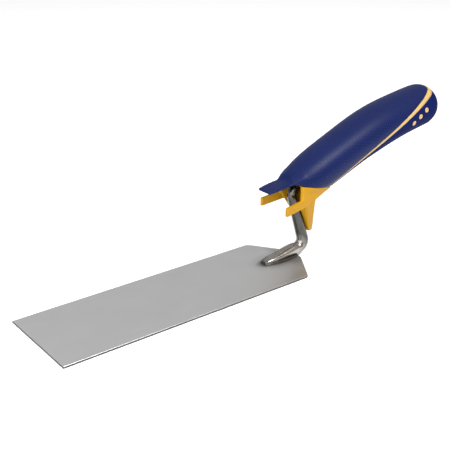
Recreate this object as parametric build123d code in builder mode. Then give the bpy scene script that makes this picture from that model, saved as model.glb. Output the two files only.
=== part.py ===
from build123d import *
import os
from math import cos, radians, sin

# Margin trowel: flat steel blade, bent and forged rod shank, soft two-part grip over a moulded core.
# Millimetres. +X runs from the blade's tip edge to the butt of the handle, +Z is up.
# The origin is the centre of the blade's underside, the face that works and that it rests on.

# ---- Blade ----
blade_length = 156.0
blade_width = 50.8
blade_thickness = 1.0
heel_taper_length = 13.0
heel_end_width = 11.0
heel_shoulder_radius = 3.5
heel_end_radius = 2.5
blade_edge_break = 0.15

# x of the blade's tip edge. A station is a distance back from it, towards the handle.
tip = -blade_length / 2

# ---- Shank ----
rod_diameter = 6.1
heel_corner_station = 163.4
heel_corner_height = 4.0
neck_lean = 17.5
neck_length = 36.4
heel_bend_radius = 4.4
tang_bend_radius = 3.6
tang_rise = 20.0
tang_length = 74.0
tang_flat_length = 24.0
tang_flat_depth = 0.8
tang_end_break = 0.8

# Sections of the forged foot: station, half width, height above the blade.
foot_sections = [
    (133.8, 2.1, 1.5),
    (136.5, 2.9, 2.3),
    (141.5, 3.3, 3.3),
    (148.0, 3.4, 4.6),
    (156.5, 3.15, 6.1),
]
foot_corner = 0.48
weld_width = 0.6
weld_height = 0.6
weld_end_station = 156.0
weld_slope = 40.0

# ---- Handle ----
# Sections square to the handle's axis: station, height of the centre, half height, half width.
handle_sections = [
    (151.0, 40.4, 8.6, 9.2),
    (157.0, 42.4, 9.7, 10.9),
    (165.0, 45.3, 11.1, 12.4),
    (178.0, 50.4, 11.8, 13.2),
    (198.0, 58.2, 12.1, 13.6),
    (220.0, 64.9, 12.35, 13.8),
    (240.0, 68.8, 12.05, 13.5),
    (250.0, 70.35, 11.95, 13.2),
    (259.3, 71.3, 11.9, 12.6),
]
butt_lean = 19.0              # degrees that the butt's flat faces downwards
butt_rounding = 8.9
grip_thickness = 2.6
core_front_gap = 2.5

# The line seen from the side that parts the grips: front of the collar, its lowest point, the butt.
parting_front = (tip + 149.0, 44.2)
parting_low = (tip + 170.0, 40.0)
parting_middle = (tip + 209.0, 60.1)
parting_butt = (tip + 272.0, 90.4)
collar_back = (tip + 178.0, 34.0)
stripe_front_width = 0.5
stripe_back_width = 2.3
region_top = 120.0            # a height above everything

# ---- Fork, collar and spur of the core ----
collar_front_station = 151.6
socket_back_station = 157.6
socket_ceiling = 43.3
socket_floor = 30.5
socket_half_width = 7.4
socket_reach = 20.0           # how far the socket's cut runs forwards, past the collar's front
collar_half_width = 9.9
collar_corner_radius = 2.2

# Sections of a prong, from its root to its tip: station, distance out to its middle, underside, top.
prong_sections = [
    (156.5, 8.8, 31.9, 36.8),
    (140.0, 10.2, 30.1, 34.7),
]
prong_thickness = 1.9

# Side view of the collar's flat-sided lower body, as stations and heights.
collar_outline = [
    (151.6, 43.6),
    (151.6, 36.0),
    (156.0, 33.5),
    (161.6, 33.5),
    (173.5, 38.8),
    (168.0, 40.4),
]
collar_rounded_from = (tip + 155.0, 38.5)    # edges behind and below this are rounded

# Sections of the spur, from the collar down: height, front station, back station, half width.
spur_sections = [
    (36.0, 152.5, 163.0, 9.6),
    (31.0, 155.0, 162.6, 8.8),
    (22.5, 159.6, 164.6, 5.8),
    (13.2, 164.3, 166.9, 2.3),
]
spur_corner = 0.2

# ---- Thumb tongue ----
# Sections of the tongue, from its tip back into the grip: station, underside, top, half width.
tongue_sections = [
    (133.2, 42.0, 43.4, 4.9),
    (141.0, 43.1, 44.5, 5.8),
    (147.6, 43.9, 45.3, 6.6),
]
shoulder_sections = [
    (147.2, 43.9, 45.2, 6.5),
    (149.6, 44.1, 46.6, 7.5),
    (154.5, 44.0, 49.3, 9.0),
]
tongue_corner = 0.4

# ---- Side marks ----
mark_centres = [(tip + 233.4, 64.9), (tip + 238.4, 68.0), (tip + 243.4, 71.0)]
mark_radius = 1.45
mark_depth = 0.6

match = 0.1                   # how near two places have to be to count as one

os.makedirs("parts", exist_ok=True)


def section_plane(index):
    """Plane square to the handle's axis at one of its sections."""
    before = handle_sections[max(index - 1, 0)]
    after = handle_sections[min(index + 1, len(handle_sections) - 1)]
    along = Vector(after[0] - before[0], 0, after[1] - before[1])
    here = handle_sections[index]
    if here is handle_sections[-1]:
        along = Vector(cos(radians(butt_lean)), 0, -sin(radians(butt_lean)))
    return Plane(origin=(tip + here[0], 0, here[1]), x_dir=(0, 1, 0), z_dir=along)


def handle_form(inset):
    """Outer form of the handle, or the same form drawn in by the inset."""
    with BuildPart() as form:
        for index, section in enumerate(handle_sections):
            with BuildSketch(section_plane(index)):
                Ellipse(section[3] - inset, section[2] - inset)
        loft()
        butt_edge = form.faces().sort_by(Axis.X)[-1].edges()
        fillet(butt_edge, butt_rounding - inset)
        if inset:
            core_front = Plane(origin=(tip + collar_front_station + core_front_gap, 0, 0), z_dir=(1, 0, 0))
            split(bisect_by=core_front, keep=Keep.TOP)
            core_back = section_plane(len(handle_sections) - 1).offset(-inset)
            split(bisect_by=core_back, keep=Keep.BOTTOM)
    return form.part


def rod_path():
    """Centre line of the rod: foot, heel bend, neck, tang bend and tang."""
    heel = Vector(tip + heel_corner_station, heel_corner_height)
    neck = Vector(-sin(radians(neck_lean)), cos(radians(neck_lean))) * neck_length
    tang = Vector(cos(radians(tang_rise)), sin(radians(tang_rise))) * tang_length
    start = Vector(tip + foot_sections[-1][0], heel_corner_height)
    return [start, heel, heel + neck, heel + neck + tang]


outer_form = handle_form(0)
core_form = handle_form(grip_thickness)
rod_points = rod_path()

# ---- Blade ----
with BuildPart() as blade:
    with BuildSketch():
        with BuildLine():
            Polyline(
                (tip, 0),
                (tip, blade_width / 2),
                (-tip - heel_taper_length, blade_width / 2),
                (-tip, heel_end_width / 2),
                (-tip, 0),
            )
            mirror(about=Plane.XZ)
        make_face()
        shoulders = vertices().filter_by(lambda v: abs(v.X + tip + heel_taper_length) < match)
        fillet(shoulders, heel_shoulder_radius)
        end_corners = vertices().filter_by(lambda v: abs(v.X + tip) < match < abs(v.Y))
        fillet(end_corners, heel_end_radius)
    extrude(amount=blade_thickness)
    chamfer(blade.faces().sort_by(Axis.Z)[-1].edges(), blade_edge_break)
blade.part.label = "blade"
export_step(blade.part, "parts/blade.step")

# ---- Shank: swept rod with a forged foot and two flats on the tang ----
with BuildPart() as shank:
    with BuildLine(Plane.XZ) as rod_line:
        FilletPolyline(*[(p.X, p.Y) for p in rod_points], radius=[heel_bend_radius, tang_bend_radius])
    with BuildSketch(Plane(origin=rod_line.line @ 0, x_dir=(0, 1, 0), z_dir=rod_line.line % 0)):
        Circle(rod_diameter / 2)
    sweep()
    tang_end = shank.faces().filter_by(GeomType.PLANE).sort_by(Axis.X)[-1]
    chamfer(tang_end.edges(), tang_end_break)
    for station, half_width, height in foot_sections:
        centre = (tip + station, 0, blade_thickness + height / 2)
        with BuildSketch(Plane(origin=centre, x_dir=(0, 1, 0), z_dir=(1, 0, 0))):
            RectangleRounded(2 * half_width, height, foot_corner * height)
    loft()
    tang_end_plane = Plane(origin=rod_line.line @ 1, x_dir=(0, 1, 0), z_dir=rod_line.line % 1)
    for side in (-1, 1):
        with BuildSketch(tang_end_plane):
            with Locations((side * rod_diameter / 2, 0)):
                Rectangle(2 * tang_flat_depth, rod_diameter)
        extrude(amount=-tang_flat_length, mode=Mode.SUBTRACT)
shank.part.label = "shank"
export_step(shank.part, "parts/shank.step")

# ---- Weld: a low bead round the foot, on the blade ----
with BuildPart() as shank_weld:
    with BuildSketch(Plane.XY.offset(blade_thickness)):
        with BuildLine():
            foot_side = [(tip + station, half_width) for station, half_width, height in foot_sections[:-1]]
            Polyline(
                (foot_side[0][0], 0),
                *foot_side,
                (tip + weld_end_station, foot_sections[-1][1]),
                (tip + weld_end_station, 0),
            )
            mirror(about=Plane.XZ)
        make_face()
        offset(amount=weld_width)
    extrude(amount=weld_height, taper=weld_slope)
    add(shank.part, mode=Mode.SUBTRACT)
shank_weld.part.label = "shank_weld"
export_step(shank_weld.part, "parts/shank_weld.step")


def stripe_arc(offset_down):
    """Three points of a parting arc, set down from the top grip's edge by a growing width."""
    front_drop = offset_down * stripe_front_width
    back_drop = offset_down * stripe_back_width
    low = (parting_low[0], parting_low[1] - front_drop)
    middle = (parting_middle[0], parting_middle[1] - (front_drop + back_drop) / 2)
    butt = (parting_butt[0], parting_butt[1] - back_drop)
    return low, middle, butt


# ---- Regions of the side view: above the stripe, the stripe, and the collar ----
with BuildPart() as above_stripe:
    with BuildSketch(Plane.XZ):
        with BuildLine():
            ThreePointArc(*stripe_arc(0))
            Polyline(
                parting_butt,
                (parting_butt[0], region_top),
                (parting_front[0], region_top),
                parting_front,
                parting_low,
            )
        make_face()
    extrude(amount=blade_width, both=True)
with BuildPart() as below_stripe:
    with BuildSketch(Plane.XZ):
        with BuildLine():
            lower = stripe_arc(1)
            ThreePointArc(*lower)
            Polyline(lower[2], (lower[2][0], 0), (collar_back[0], 0), collar_back, lower[0])
        make_face()
    extrude(amount=blade_width, both=True)

# ---- Collar: the flat-sided body below the grips that carries the prongs and the spur ----
with BuildPart() as collar_body:
    with BuildSketch(Plane.XZ):
        with BuildLine():
            Polyline(*[(tip + station, height) for station, height in collar_outline], close=True)
        make_face()
    extrude(amount=collar_half_width, both=True)
    side_edges = collar_body.faces().filter_by(Axis.Y).edges()
    rear_edges = side_edges.filter_by(lambda e: e.center().X > collar_rounded_from[0])
    fillet(rear_edges.filter_by(lambda e: e.center().Z < collar_rounded_from[1]), collar_corner_radius)

# ---- Handle core ----
with BuildPart() as handle_core:
    add(outer_form)
    add(above_stripe.part, mode=Mode.SUBTRACT)
    add(below_stripe.part, mode=Mode.SUBTRACT)
    collar_front = Plane(origin=(tip + collar_front_station, 0, 0), z_dir=(1, 0, 0))
    split(bisect_by=collar_front, keep=Keep.TOP)
    add(core_form)
    add(collar_body.part)
    for height, front, back, half_width in spur_sections:
        with BuildSketch(Plane.XY.offset(height)):
            with Locations((tip + (front + back) / 2, 0)):
                RectangleRounded(back - front, 2 * half_width, spur_corner * (back - front))
    loft()
    for side in (-1, 1):
        for station, centre, low, high in prong_sections:
            prong_place = (tip + station, side * centre, (low + high) / 2)
            with BuildSketch(Plane(origin=prong_place, x_dir=(0, 1, 0), z_dir=(-1, 0, 0))):
                Rectangle(prong_thickness, high - low)
        loft()
    with BuildSketch(Plane.XY.offset(socket_floor)):
        with Locations((tip + socket_back_station, 0)):
            Rectangle(socket_reach, 2 * socket_half_width, align=(Align.MAX, Align.CENTER))
    extrude(amount=socket_ceiling - socket_floor, mode=Mode.SUBTRACT)
    add(shank.part, mode=Mode.SUBTRACT)
handle_core.part.label = "handle_core"
export_step(handle_core.part, "parts/handle_core.step")

# ---- Top grip: textured overmould with the thumb tongue ----
with BuildPart() as top_grip:
    add(outer_form)
    add(above_stripe.part, mode=Mode.INTERSECT)
    for sections in (tongue_sections, shoulder_sections):
        for station, low, high, half_width in sections:
            centre = (tip + station, 0, (low + high) / 2)
            with BuildSketch(Plane(origin=centre, x_dir=(0, 1, 0), z_dir=(1, 0, 0))):
                RectangleRounded(2 * half_width, high - low, tongue_corner * (high - low))
        loft()
    add(core_form, mode=Mode.SUBTRACT)
    add(shank.part, mode=Mode.SUBTRACT)
top_grip.part.label = "top_grip"
export_step(top_grip.part, "parts/top_grip.step")

# ---- Side marks: three round inlays on each side of the lower grip ----
with BuildPart() as side_marks:
    with BuildSketch(Plane.XZ):
        with Locations(*mark_centres):
            Circle(mark_radius)
    extrude(amount=blade_width, both=True)
    add(outer_form, mode=Mode.INTERSECT)
    add(handle_form(mark_depth), mode=Mode.SUBTRACT)
side_marks.part.label = "side_marks"
export_step(side_marks.part, "parts/side_marks.step")

# ---- Lower grip: smooth overmould underneath and round the butt ----
with BuildPart() as lower_grip:
    add(outer_form)
    add(below_stripe.part, mode=Mode.INTERSECT)
    add(core_form, mode=Mode.SUBTRACT)
    add(collar_body.part, mode=Mode.SUBTRACT)
    add(side_marks.part, mode=Mode.SUBTRACT)
lower_grip.part.label = "lower_grip"
export_step(lower_grip.part, "parts/lower_grip.step")
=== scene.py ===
import math

import bmesh
import bpy
import numpy as np
from mathutils import Matrix, Vector, noise
from mathutils.bvhtree import BVHTree


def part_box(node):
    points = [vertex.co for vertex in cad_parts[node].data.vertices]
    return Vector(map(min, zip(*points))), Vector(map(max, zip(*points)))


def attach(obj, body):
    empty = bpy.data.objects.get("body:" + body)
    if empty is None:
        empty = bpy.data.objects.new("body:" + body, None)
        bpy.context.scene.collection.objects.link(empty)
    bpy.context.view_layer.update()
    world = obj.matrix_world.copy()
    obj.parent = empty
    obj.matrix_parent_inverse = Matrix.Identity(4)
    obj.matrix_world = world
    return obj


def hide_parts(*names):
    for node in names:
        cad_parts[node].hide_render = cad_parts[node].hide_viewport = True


# Margin trowel. Lengths are metres in the row's frame: +X from the blade's tip edge to the butt, +Z up.
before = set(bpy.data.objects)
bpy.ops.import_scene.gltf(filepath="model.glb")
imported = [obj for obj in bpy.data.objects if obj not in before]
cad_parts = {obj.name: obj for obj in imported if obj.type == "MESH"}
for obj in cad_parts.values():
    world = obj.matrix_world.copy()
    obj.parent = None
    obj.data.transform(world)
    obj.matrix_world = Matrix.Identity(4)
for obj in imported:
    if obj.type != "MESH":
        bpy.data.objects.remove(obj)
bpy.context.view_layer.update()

MM = 0.001

# ---- Places, from the frame ----
blade_low, blade_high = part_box("blade")
grip_low, grip_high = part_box("top_grip")
weld_low, weld_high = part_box("shank_weld")
tip = blade_low.x
blade_top = blade_high.z

# Distances back from the blade's tip edge, as on the CAD part.
heel_bend = Vector((tip + 163.0 * MM, 0, 5.0 * MM))
foot_middle = Vector((tip + 146.0 * MM, 0, 3.0 * MM))
core_cut = tip + 174.0 * MM
tongue_root = Vector((tip + 149.5 * MM, 0, 46.2 * MM))
# Middle of the painted dark reflection over the blade's heel.
heel_reflection_middle = Vector((tip + 155.0 * MM, 0, blade_top))

# ---- Camera ----
view_azimuth = 37.997
view_elevation = 22.733
view_distance = 0.45
view_target = Vector((45.212, 20.266, 19.837)) * MM
view_lens = 66.44


# ---- Mesh helpers ----
def closed_copy(node):
    """A bmesh with a CAD node's surface, its seams joined."""
    shape = bmesh.new()
    shape.from_mesh(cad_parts[node].data)
    bmesh.ops.remove_doubles(shape, verts=shape.verts, dist=0.001 * MM)
    return shape


def keep_side(shape, x, side):
    """Cuts the shape at x and keeps the part behind it (side 1) or ahead of it (side -1), closed."""
    geometry = shape.verts[:] + shape.edges[:] + shape.faces[:]
    cut = bmesh.ops.bisect_plane(
        shape, geom=geometry, plane_co=(x, 0, 0), plane_no=(side, 0, 0), clear_inner=True
    )
    rim = [e for e in cut["geom_cut"] if isinstance(e, bmesh.types.BMEdge)]
    bmesh.ops.triangle_fill(shape, edges=rim, use_beauty=True)
    bmesh.ops.recalc_face_normals(shape, faces=shape.faces)
    return shape


def new_object(name, shape):
    """An object with the bmesh's surface, shaded smooth."""
    mesh = bpy.data.meshes.new(name)
    shape.to_mesh(mesh)
    shape.free()
    mesh.shade_smooth()
    piece = bpy.data.objects.new(name, mesh)
    bpy.context.scene.collection.objects.link(piece)
    return piece


def skinned(name, shape, voxel):
    """An object whose surface is the closed shape's, as an even skin of small faces."""
    source = new_object(name + "_source", shape)
    remesh = source.modifiers.new("skin", "REMESH")
    remesh.mode = "VOXEL"
    remesh.voxel_size = voxel
    graph = bpy.context.evaluated_depsgraph_get()
    mesh = bpy.data.meshes.new_from_object(source.evaluated_get(graph))
    bpy.data.objects.remove(source)
    mesh.name = name
    mesh.materials.clear()
    mesh.shade_smooth()
    piece = bpy.data.objects.new(name, mesh)
    bpy.context.scene.collection.objects.link(piece)
    return piece


def get_points(piece):
    """The piece's points as an array."""
    points = np.empty(len(piece.data.vertices) * 3)
    piece.data.vertices.foreach_get("co", points)
    return points.reshape(-1, 3)


def set_points(piece, points):
    """Moves the piece's points to the array's."""
    piece.data.vertices.foreach_set("co", points.ravel())
    piece.data.update()


def get_normals(piece):
    """The piece's point normals as an array."""
    normals = np.empty(len(piece.data.vertices) * 3)
    piece.data.vertices.foreach_get("normal", normals)
    return normals.reshape(-1, 3)


def relax(piece, passes, weight=1.0, keep_size=True):
    """Smooths a piece by moving points towards their neighbours' mean. keep_size stops it shrinking."""
    points = get_points(piece)
    count = len(points)
    edges = np.empty(len(piece.data.edges) * 2, int)
    piece.data.edges.foreach_get("vertices", edges)
    first, second = edges.reshape(-1, 2).T
    valence = np.bincount(edges, minlength=count)[:, None]
    strength = np.broadcast_to(np.asarray(weight, float), (count,))[:, None]
    steps = (0.5, -0.53) if keep_size else (0.5, 0.5)
    for turn in range(2 * passes):
        mean = np.empty_like(points)
        for axis in range(3):
            mean[:, axis] = np.bincount(first, points[second, axis], count)
            mean[:, axis] += np.bincount(second, points[first, axis], count)
        points += steps[turn % 2] * strength * (mean / valence - points)
    set_points(piece, points)


def near(points, centre, reach):
    """1 at the centre, falling smoothly to 0 well past the reach."""
    away = (points - np.array(centre)) / np.array(reach)
    return np.exp(-(away ** 2).sum(axis=1))


def swell(piece, amount):
    """Moves each point along its normal by its amount."""
    set_points(piece, get_points(piece) + get_normals(piece) * np.asarray(amount)[:, None])


def uneven(points, size, seed):
    """Smooth noise from -1 to 1 over the points, with features of that size."""
    shift = Vector((seed, 2 * seed, 3 * seed))
    return np.array([noise.noise(Vector(p) / size + shift) for p in points])


# ---- Material helpers ----
def new_material(name, **sockets):
    """A Principled material with uniform values on its own sockets."""
    made = bpy.data.materials.new(name)
    made.use_nodes = True
    shader = made.node_tree.nodes["Principled BSDF"]
    for socket, value in sockets.items():
        shader.inputs[socket.replace("_", " ")].default_value = value
    return made, made.node_tree, shader


def add_node(tree, kind, links=None, values=None, **settings):
    """A node with its settings, socket values and the sockets that feed it."""
    made = tree.nodes.new(kind)
    for key, value in settings.items():
        setattr(made, key, value)
    for key, value in (values or {}).items():
        made.inputs[key].default_value = value
    for key, source in (links or {}).items():
        tree.links.new(source, made.inputs[key])
    return made


def stretched_noise(tree, scale, detail=3.0, seed=0.0):
    """A noise whose features have 1 / scale metres along each axis."""
    place = add_node(tree, "ShaderNodeTexCoord").outputs["Object"]
    mapping = add_node(
        tree,
        "ShaderNodeMapping",
        {"Vector": place},
        {"Scale": scale, "Location": (seed, seed, seed)},
    )
    texture = add_node(
        tree, "ShaderNodeTexNoise", {"Vector": mapping.outputs[0]}, {"Scale": 1.0, "Detail": detail}
    )
    return texture.outputs["Fac"]


def remap(tree, value, low, high, new_low, new_high):
    """The value moved from one range to another, and held within it."""
    values = {"From Min": low, "From Max": high, "To Min": new_low, "To Max": new_high}
    return add_node(tree, "ShaderNodeMapRange", {"Value": value}, values).outputs[0]


def mix_colours(tree, factor, first, second):
    """A colour between two, each a socket or a plain colour."""
    made = add_node(tree, "ShaderNodeMix", {"Factor": factor}, data_type="RGBA")
    for socket, colour in ((made.inputs[6], first), (made.inputs[7], second)):
        if isinstance(colour, tuple):
            socket.default_value = (*colour, 1)
        else:
            tree.links.new(colour, socket)
    return made.outputs[2]


def add_bump(tree, shader, height, distance, strength=1.0):
    """Fine relief on the shader's normal."""
    bump = add_node(
        tree, "ShaderNodeBump", {"Height": height}, {"Distance": distance, "Strength": strength}
    )
    tree.links.new(bump.outputs[0], shader.inputs["Normal"])


def height_above(tree, z, blend):
    """0 below z and 1 above it, over the blend distance."""
    place = add_node(tree, "ShaderNodeTexCoord").outputs["Object"]
    split = add_node(tree, "ShaderNodeSeparateXYZ", {"Vector": place})
    return remap(tree, split.outputs["Z"], z - blend / 2, z + blend / 2, 0, 1)


def distance_from(tree, point, reach):
    """1 at the point, falling to 0 at the reach, which may differ along each axis."""
    place = add_node(tree, "ShaderNodeTexCoord").outputs["Object"]
    moved = add_node(
        tree, "ShaderNodeVectorMath", {0: place}, {1: point}, operation="SUBTRACT"
    )
    scaled = add_node(
        tree, "ShaderNodeVectorMath", {0: moved.outputs[0]}, {1: reach}, operation="DIVIDE"
    )
    length = add_node(tree, "ShaderNodeVectorMath", {0: scaled.outputs[0]}, operation="LENGTH")
    return remap(tree, length.outputs["Value"], 0, 1, 1, 0)


# ---- Materials ----
def blade_steel():
    """Finely brushed steel: side faces painted near black as painted shade, a grey darkening round the
    weld that is partly heat colouring and partly painted shade, a painted contact shadow beside the
    weld, and a painted dark reflection over the heel.
    """
    made, tree, shader = new_material("blade_steel", Metallic=1.0)
    brush = stretched_noise(tree, (70, 5200, 900), 4)
    cross = stretched_noise(tree, (900, 260, 260), 2, 3.0)
    clouds = stretched_noise(tree, (42, 55, 55), 3, 7.0)
    plain = mix_colours(tree, brush, (0.66, 0.66, 0.66), (0.76, 0.76, 0.76))
    plain = mix_colours(tree, remap(tree, clouds, 0.3, 0.7, 0, 0.3), plain, (0.62, 0.62, 0.63))
    weld_middle = (weld_low + weld_high) / 2
    # Grey darkening round the weld: partly heat colouring, partly painted shade round the foot.
    heat_tint_and_shade = distance_from(tree, weld_middle, (0.021, 0.011, 0.01))
    plain = mix_colours(tree, remap(tree, heat_tint_and_shade, 0, 0.6, 0, 0.5), plain, (0.36, 0.35, 0.34))
    # Painted dark reflection over the heel of the blade.
    heel = distance_from(tree, heel_reflection_middle, (0.011, 0.027, 0.01))
    plain = mix_colours(tree, remap(tree, heel, 0, 0.55, 0, 0.62), plain, (0.31, 0.295, 0.275))
    # Painted contact shadow and painted dark reflection of the foot, beside the weld.
    foot_shadow = distance_from(tree, weld_middle, (0.0165, 0.0064, 0.01))
    plain = mix_colours(tree, remap(tree, foot_shadow, 0, 0.3, 0, 0.85), plain, (0.07, 0.068, 0.066))
    # The side faces and the lower half of the bevel painted near black: painted shade.
    edge = height_above(tree, blade_top - 0.07 * MM, 0.03 * MM)
    tree.links.new(mix_colours(tree, edge, (0.075, 0.073, 0.07), plain), shader.inputs["Base Color"])
    rough = remap(tree, brush, 0.25, 0.75, 0.34, 0.44)
    tree.links.new(rough, shader.inputs["Roughness"])
    relief = add_node(
        tree, "ShaderNodeMath", {0: brush, 1: remap(tree, cross, 0, 1, 0, 0.25)}, operation="ADD"
    )
    add_bump(tree, shader, relief.outputs[0], 0.012 * MM, 0.35)
    return made


def shank_steel():
    """Forged rod, tumbled and polished: dark polished steel with soft stains and light tool marks, and a
    streaked painted highlight over the top of the foot.
    """
    made, tree, shader = new_material("shank_steel", Metallic=1.0)
    stains = stretched_noise(tree, (260, 260, 160), 4)
    marks = stretched_noise(tree, (2600, 2600, 500), 3, 5.0)
    plain = mix_colours(tree, stains, (0.038, 0.039, 0.040), (0.12, 0.117, 0.11))
    warm = remap(tree, stretched_noise(tree, (170, 170, 120), 2, 9.0), 0.5, 0.75, 0, 0.5)
    plain = mix_colours(tree, warm, plain, (0.15, 0.11, 0.07))
    # Painted highlight: lighter, streaked colour over the top of the foot.
    foot_highlight = distance_from(tree, foot_middle + Vector((2, -1, 2)) * MM, (0.017, 0.009, 0.010))
    streaks = stretched_noise(tree, (110, 900, 900), 2, 2.0)
    highlight_colour = mix_colours(tree, streaks, (0.18, 0.165, 0.145), (0.58, 0.555, 0.51))
    plain = mix_colours(tree, remap(tree, foot_highlight, 0, 0.4, 0, 0.9), plain, highlight_colour)
    tree.links.new(plain, shader.inputs["Base Color"])
    tree.links.new(remap(tree, marks, 0.3, 0.7, 0.17, 0.30), shader.inputs["Roughness"])
    add_bump(tree, shader, marks, 0.02 * MM, 0.3)
    return made


def weld_steel():
    """The weld bead: rougher, its near-black to dark grey colour partly the bead's own heat colours and
    partly painted shade standing for the contact shadow round the foot.
    """
    made, tree, shader = new_material("weld_steel", Metallic=1.0)
    grain = stretched_noise(tree, (1500, 1500, 1500), 4)
    # Near-black to dark grey: painted contact shadow round the foot, over the bead's own heat colours.
    tree.links.new(
        mix_colours(tree, grain, (0.03, 0.028, 0.027), (0.11, 0.10, 0.085)), shader.inputs["Base Color"]
    )
    tree.links.new(remap(tree, grain, 0.3, 0.7, 0.35, 0.6), shader.inputs["Roughness"])
    add_bump(tree, shader, grain, 0.03 * MM, 0.5)
    return made


def moulded(name, colour, shade, roughness, gloss, grain_size, relief):
    """Moulded plastic or rubber: a fine spark-eroded grain and a slow drift of colour."""
    made, tree, shader = new_material(name, Specular_IOR_Level=gloss)
    drift = stretched_noise(tree, (60, 60, 60), 3)
    grain = stretched_noise(tree, (1 / grain_size,) * 3, 3, 4.0)
    plain = mix_colours(tree, remap(tree, drift, 0.3, 0.7, 0, 1), shade, colour)
    tree.links.new(plain, shader.inputs["Base Color"])
    rough = remap(tree, grain, 0.25, 0.75, roughness - 0.05, roughness + 0.07)
    tree.links.new(rough, shader.inputs["Roughness"])
    add_bump(tree, shader, grain, relief, 0.6)
    return made


def floor_white():
    """Matt white studio paper."""
    made, tree, shader = new_material(
        "floor_white",
        Roughness=1.0,
        Specular_IOR_Level=0.0,
        Emission_Color=(1, 1, 1, 1),
        Emission_Strength=0.2,
    )
    fibres = stretched_noise(tree, (300, 300, 300), 4)
    tree.links.new(
        mix_colours(tree, fibres, (0.90, 0.90, 0.90), (0.93, 0.93, 0.93)), shader.inputs["Base Color"]
    )
    return made


def finish_piece(piece, surface, slot, *nodes):
    """Gives a piece its material and its place on the frame, and hides the CAD nodes it replaces. The
    slot argument is not used.
    """
    piece.data.materials.clear()
    piece.data.materials.append(surface)
    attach(piece, "root")
    if nodes:
        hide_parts(*nodes)


# ---- Pieces ----
def make_shank():
    """The forged shank: blended foot, a thicker heel bend and slightly uneven forged skin."""
    shank = skinned("forged_shank", closed_copy("shank"), 0.26 * MM)
    relax(shank, 6)
    points = get_points(shank)
    bend = near(points, heel_bend, (6 * MM, 6 * MM, 6 * MM))
    foot = near(points, foot_middle, (11 * MM, 6 * MM, 6 * MM))
    relax(shank, 6, np.clip(bend + foot, 0, 1), keep_size=False)
    dents = uneven(points, 6 * MM, 11) * 0.04 * MM
    swell(shank, 0.55 * MM * bend + (0.2 * MM + dents) * foot)
    return shank


def make_weld():
    """The weld bead round the foot, with the ripples of its pool."""
    bead = skinned("weld_bead", closed_copy("shank_weld"), 0.13 * MM)
    relax(bead, 4)
    points = get_points(bead)
    ripple = np.sin(2 * np.pi * (points[:, 0] - 0.3 * np.abs(points[:, 1])) / (1.5 * MM))
    top = np.clip((points[:, 2] - blade_top) / (0.4 * MM), 0, 1)
    swell(bead, top * (0.05 * ripple + 0.06 * uneven(points, 1.2 * MM, 5)) * MM)
    return bead


def make_core_front():
    """Fork, collar and spur of the core: one moulding, so every inner corner is blended."""
    front = skinned("core_front", keep_side(closed_copy("handle_core"), core_cut, -1), 0.26 * MM)
    relax(front, 5)
    points = get_points(front)
    ahead = np.clip((core_cut - 4 * MM - points[:, 0]) / (3 * MM), 0, 1)
    cheek = near(points, (tip + 163 * MM, 0, 39.5 * MM), (8 * MM, 99, 4.5 * MM))
    relax(front, 14, cheek * ahead, keep_size=False)
    lip_middle = (tip + 151.6 * MM, 9.2 * MM, 40.5 * MM)
    lips = near(np.abs(points), lip_middle, (2.6 * MM, 2.4 * MM, 4.5 * MM))
    relax(front, 24, lips, keep_size=False)
    relax(front, 2, ahead, keep_size=False)
    return front


def make_grips():
    """The two soft grips, with edges rounded down to the stripe and the tongue blended in."""
    top = skinned("grip_upper", closed_copy("top_grip"), 0.38 * MM)
    relax(top, 4)
    root = near(get_points(top), tongue_root, (5.5 * MM, 12 * MM, 5 * MM))
    relax(top, 60, root, keep_size=False)
    relax(top, 1, keep_size=False)
    lower = skinned("grip_lower", closed_copy("lower_grip"), 0.38 * MM)
    relax(lower, 4)
    relax(lower, 1, keep_size=False)
    return top, lower


def add_dome(shape, spot, normal, radius, rise):
    """A low dome on the surface, sunk a little into it."""
    side = normal.orthogonal().normalized()
    other = normal.cross(side)
    turns = [step * math.pi / 4 for step in range(8)]
    around = [side * math.cos(turn) + other * math.sin(turn) for turn in turns]
    top = shape.verts.new(spot + normal * rise)
    middle = [shape.verts.new(spot + out * radius * 0.62 + normal * rise * 0.7) for out in around]
    base = [shape.verts.new(spot + out * radius - normal * rise * 0.3) for out in around]
    for index in range(8):
        after = (index + 1) % 8
        shape.faces.new((top, middle[index], middle[after]))
        shape.faces.new((middle[index], base[index], base[after], middle[after]))
    shape.faces.new(base[::-1])


def make_dots(grip):
    """Rows of small domes over the upper grip, from the tongue to the butt."""
    pitch = 1.5 * MM
    clear_of_edge = 1.7 * MM
    form_radius = 12.5 * MM
    dot_radius = 0.42 * MM
    dot_rise = 0.11 * MM
    outside = Vector((0, 0, 40 * MM))
    skin = BVHTree.FromObject(grip, bpy.context.evaluated_depsgraph_get())
    core = BVHTree.FromBMesh(closed_copy("handle_core"))
    shape = bmesh.new()
    for row in range(1, int((grip_high.x - grip_low.x) / pitch)):
        x = grip_low.x + row * pitch
        crest = skin.ray_cast(Vector((x, 0, grip_high.z + outside.z)), -outside)[0]
        if crest is None:
            continue
        on_tongue = x < tongue_root.x
        for column in range(-18, 19):
            across = (column + 0.5 * (row % 2)) * pitch
            turn = Matrix.Rotation(0 if on_tongue else -across / form_radius, 3, "X")
            aim = Vector((x, across if on_tongue else 0, crest.z - form_radius))
            spot, normal = skin.ray_cast(aim + turn @ outside, turn @ -outside)[:2]
            if spot is None or normal.dot(turn @ outside) < 0.4 * outside.z:
                continue
            if core.find_nearest(spot)[3] > clear_of_edge:
                add_dome(shape, spot, normal, dot_radius, dot_rise)
    return new_object("grip_dots", shape)


yellow = moulded(
    "core_yellow",
    colour=(0.41, 0.21, 0.005),
    shade=(0.385, 0.193, 0.0045),
    roughness=0.42,
    gloss=0.16,
    grain_size=0.25 * MM,
    relief=0.012 * MM,
)
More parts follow.
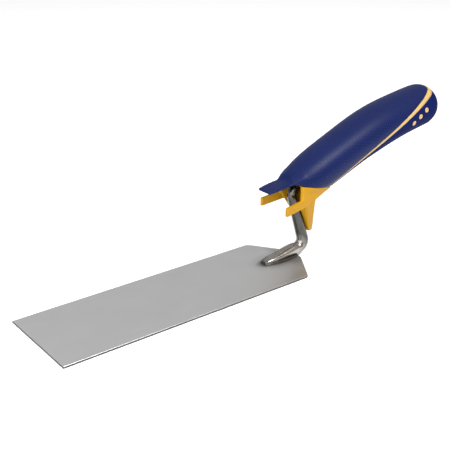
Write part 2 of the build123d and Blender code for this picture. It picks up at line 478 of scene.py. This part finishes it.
# The stripe is the same yellow moulding as the core, painted paler as a painted sheen; the side marks
# share this colour.
pale = moulded(
    "stripe_yellow_sheen",
    colour=(0.50, 0.33, 0.12),
    shade=(0.47, 0.30, 0.10),
    roughness=0.40,
    gloss=0.25,
    grain_size=0.25 * MM,
    relief=0.012 * MM,
)
navy_dotted = moulded(
    "grip_textured",
    colour=(0.003, 0.009, 0.063),
    shade=(0.0025, 0.008, 0.057),
    roughness=0.38,
    gloss=0.16,
    grain_size=0.2 * MM,
    relief=0.02 * MM,
)
navy_smooth = moulded(
    "grip_smooth",
    colour=(0.004, 0.010, 0.069),
    shade=(0.0035, 0.0085, 0.062),
    roughness=0.62,
    gloss=0.03,
    grain_size=0.3 * MM,
    relief=0.01 * MM,
)

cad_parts["blade"].data.materials.clear()
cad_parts["blade"].data.materials.append(blade_steel())
finish_piece(make_shank(), shank_steel(), "shank_steel", "shank")
finish_piece(make_weld(), weld_steel(), "weld_steel", "shank_weld")
finish_piece(make_core_front(), yellow, "core_yellow", "handle_core")
stripe = new_object("core_stripe", keep_side(closed_copy("handle_core"), core_cut, 1))
stripe.data.set_sharp_from_angle(angle=math.radians(35))
finish_piece(stripe, pale, "core_yellow")
upper, lower = make_grips()
finish_piece(upper, navy_dotted, "grip_textured", "top_grip")
finish_piece(lower, navy_smooth, "grip_smooth", "lower_grip")
finish_piece(make_dots(upper), navy_dotted, "grip_textured")
marks = skinned("side_dots", closed_copy("side_marks"), 0.12 * MM)
relax(marks, 4)
relax(marks, 2, keep_size=False)
finish_piece(marks, pale, "mark_yellow", "side_marks")


# ---- Stage ----
def make_floor():
    """A wide, flat, pale floor level with the blade's underside."""
    shape = bmesh.new()
    reach = 6.0
    turns = ((-1, -1), (1, -1), (1, 1), (-1, 1))
    shape.faces.new([shape.verts.new((x * reach, y * reach, 0)) for x, y in turns])
    floor = new_object("floor", shape)
    floor.data.materials.append(floor_white())


def add_light(name, place, aim, size, power):
    """A square soft box at a place, facing the aim."""
    light = bpy.data.lights.new(name, "AREA")
    light.size = size
    light.energy = power
    lamp = bpy.data.objects.new(name, light)
    lamp.location = place
    lamp.rotation_euler = (Vector(aim) - Vector(place)).to_track_quat("-Z", "Y").to_euler()
    bpy.context.scene.collection.objects.link(lamp)


def make_camera():
    """A camera on the view's line, looking down at the tool from beyond its tip."""
    azimuth = math.radians(view_azimuth)
    elevation = math.radians(view_elevation)
    forward = Vector(
        (
            math.cos(elevation) * math.sin(azimuth),
            math.cos(elevation) * math.cos(azimuth),
            -math.sin(elevation),
        )
    )
    lens = bpy.data.cameras.new("camera")
    lens.lens = view_lens
    lens.sensor_width = 36
    camera = bpy.data.objects.new("camera", lens)
    camera.location = view_target - forward * view_distance
    camera.rotation_euler = (math.pi / 2 - elevation, 0, -azimuth)
    bpy.context.scene.collection.objects.link(camera)
    bpy.context.scene.camera = camera


make_floor()
add_light("key", (0.17, -0.60, 0.90), (0.05, 0, 0.03), 0.34, 9)
add_light("fill", (-0.75, -0.30, 0.42), (0.06, 0, 0.03), 1.2, 13)
add_light("top", (-0.10, 0.30, 2.20), (0, 0, 0), 3.0, 12)
make_camera()

world = bpy.data.worlds.new("studio")
world.use_nodes = True
background = world.node_tree.nodes["Background"]
background.inputs["Color"].default_value = (1, 1, 1, 1)
background.inputs["Strength"].default_value = 0.5
bpy.context.scene.world = world
bpy.context.scene.view_settings.view_transform = "Standard"
